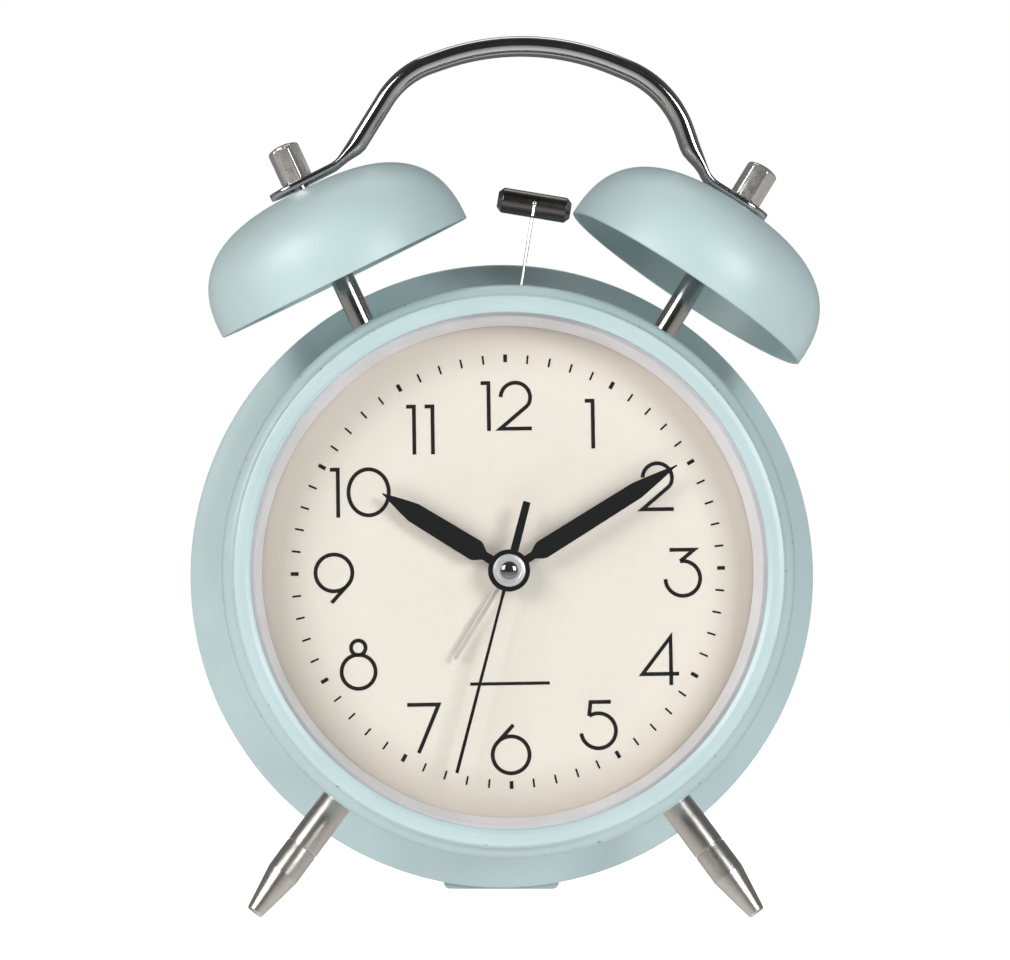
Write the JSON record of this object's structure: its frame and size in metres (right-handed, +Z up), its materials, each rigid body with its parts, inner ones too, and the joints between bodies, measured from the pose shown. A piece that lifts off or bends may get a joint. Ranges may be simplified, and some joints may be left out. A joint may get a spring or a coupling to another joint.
{
  "type": "twin bell alarm clock",
  "caption": "Small desk alarm clock: flared round case on two legs, dial behind a lens, two bells with a striker between them, and a strap handle over the top.",
  "frame": {"origin": "on the table under the middle of the whole object's box", "axes": "+Z up, the dial faces -Y, +X to the right as the dial is read"},
  "size_m": [0.122, 0.0588, 0.1659],
  "materials": {
    "aqua_paint": "satin pastel aqua enamel",
    "chrome": "polished",
    "brushed_steel": "fine brushed",
    "brass": "plain",
    "copper_wire": "enamelled winding",
    "black_plastic": "fine texture",
    "cover_plastic": "smooth moulded, tinted to match the case",
    "hand_black": "semi-matte",
    "white_plastic": "smooth",
    "dial_cream": "matte print",
    "lens_clear": "clear",
    "board_green": "solder mask"
  },
  "bodies": {
    "case": {"case_shell": "aqua_paint", "front_bezel": "aqua_paint", "left_bell": "aqua_paint", "right_bell": "aqua_paint", "handle": "chrome", "left_bell_post": "brushed_steel", "right_bell_post": "brushed_steel", "left_cap_nut": "brushed_steel", "right_cap_nut": "brushed_steel", "left_post_nut": "brushed_steel", "right_post_nut": "brushed_steel", "left_leg": "brushed_steel", "right_leg": "brushed_steel", "left_leg_nut": "brushed_steel", "right_leg_nut": "brushed_steel", "hammer_pivot_pin": "brushed_steel", "hammer_bracket": "brushed_steel", "bell_motor": "brushed_steel", "stator": "brushed_steel", "cover_screw_top": "brushed_steel", "cover_screw_left": "brushed_steel", "cover_screw_right": "brushed_steel", "battery_contact_positive": "brass", "battery_contact_negative": "brass", "drive_coil": "copper_wire", "rear_cover": "cover_plastic", "dial_ring": "white_plastic", "movement_front_plate": "white_plastic", "movement_housing": "white_plastic", "dial": "dial_cream", "lens": "lens_clear", "circuit_board": "board_green"},
    "minute_hand_group": {"minute_hand": "hand_black", "minute_pinion": "brass"},
    "hour_hand_group": {"hour_hand": "hand_black", "hour_wheel": "white_plastic"},
    "motion_wheel_group": {"motion_wheel": "white_plastic"},
    "time_set_group": {"time_set_knob": "black_plastic", "time_set_shaft": "white_plastic"},
    "second_hand_group": {"second_hand": "hand_black", "second_hand_cap": "chrome", "second_wheel": "white_plastic"},
    "intermediate_wheel_group": {"intermediate_wheel": "white_plastic"},
    "rotor_group": {"rotor": "brushed_steel"},
    "alarm_hand_group": {"alarm_hand": "brushed_steel", "alarm_wheel": "white_plastic"},
    "alarm_set_group": {"alarm_set_knob": "black_plastic", "alarm_set_shaft": "white_plastic"},
    "hammer": {"hammer_head": "chrome", "hammer_arm": "brushed_steel", "hammer_lever": "black_plastic"},
    "motor_shaft": {"motor_crank": "brushed_steel"},
    "alarm_switch_slider": {"alarm_switch": "black_plastic"},
    "light_push": {"light_button": "black_plastic"},
    "battery_hatch": {"battery_door": "black_plastic"}
  },
  "joints": [
    {"name": "minute_hand_turn", "type": "hinge", "parent": "case", "child": "minute_hand_group", "pos_m": [0, -0.01696, 0.0646], "axis": [0, 1, 0], "continuous": true},
    {"name": "hour_hand_turn", "type": "hinge", "parent": "case", "child": "hour_hand_group", "pos_m": [0, -0.01586, 0.0646], "axis": [0, 1, 0], "continuous": true},
    {"name": "motion_wheel_turn", "type": "hinge", "parent": "case", "child": "motion_wheel_group", "pos_m": [0.006, -0.00656, 0.05931], "axis": [0, 1, 0], "continuous": true},
    {"name": "time_knob_turn", "type": "hinge", "parent": "case", "child": "time_set_group", "pos_m": [0.012, 0.02544, 0.0646], "axis": [0, 1, 0], "continuous": true},
    {"name": "second_hand_turn", "type": "hinge", "parent": "case", "child": "second_hand_group", "pos_m": [0, -0.01786, 0.0646], "axis": [0, 1, 0], "continuous": true},
    {"name": "intermediate_wheel_turn", "type": "hinge", "parent": "case", "child": "intermediate_wheel_group", "pos_m": [0, -0.00356, 0.0706], "axis": [0, 1, 0], "continuous": true},
    {"name": "rotor_turn", "type": "hinge", "parent": "case", "child": "rotor_group", "pos_m": [-0.00606, -0.00156, 0.0741], "axis": [0, 1, 0], "continuous": true},
    {"name": "alarm_hand_turn", "type": "hinge", "parent": "case", "child": "alarm_hand_group", "pos_m": [0, -0.01476, 0.0646], "axis": [0, 1, 0], "continuous": true},
    {"name": "alarm_knob_turn", "type": "hinge", "parent": "case", "child": "alarm_set_group", "pos_m": [-0.012, 0.02544, 0.0646], "axis": [0, 1, 0], "continuous": true},
    {"name": "hammer_swing", "type": "hinge", "parent": "case", "child": "hammer", "pos_m": [-0.0002, -0.00356, 0.1016], "axis": [0, 1, 0], "range_deg": [-10.5, 0]},
    {"name": "bell_motor_turn", "type": "hinge", "parent": "case", "child": "motor_shaft", "pos_m": [0, -0.00056, 0.0896], "axis": [0, 1, 0], "continuous": true},
    {"name": "alarm_switch_slide", "type": "slide", "parent": "case", "child": "alarm_switch_slider", "axis": [1, 0, 0], "range_m": [0, 0.005]},
    {"name": "light_button_push", "type": "slide", "parent": "case", "child": "light_push", "axis": [0, -1, 0], "range_m": [0, 0.0015], "stiffness_N_per_m": 300, "springref_m": -0.001},
    {"name": "battery_door_open", "type": "hinge", "parent": "case", "child": "battery_hatch", "pos_m": [0, 0.02354, 0.0276], "axis": [-1, 0, 0], "range_deg": [0, 90]}
  ],
  "couplings": [
    {"joint": "hour_hand_turn", "follows": "minute_hand_turn", "ratio": 0.083333},
    {"joint": "motion_wheel_turn", "follows": "minute_hand_turn", "ratio": -0.33333},
    {"joint": "time_knob_turn", "follows": "minute_hand_turn", "ratio": 1},
    {"joint": "intermediate_wheel_turn", "follows": "second_hand_turn", "ratio": -5},
    {"joint": "rotor_turn", "follows": "second_hand_turn", "ratio": 30},
    {"joint": "alarm_knob_turn", "follows": "alarm_hand_turn", "ratio": -5}
  ]
}
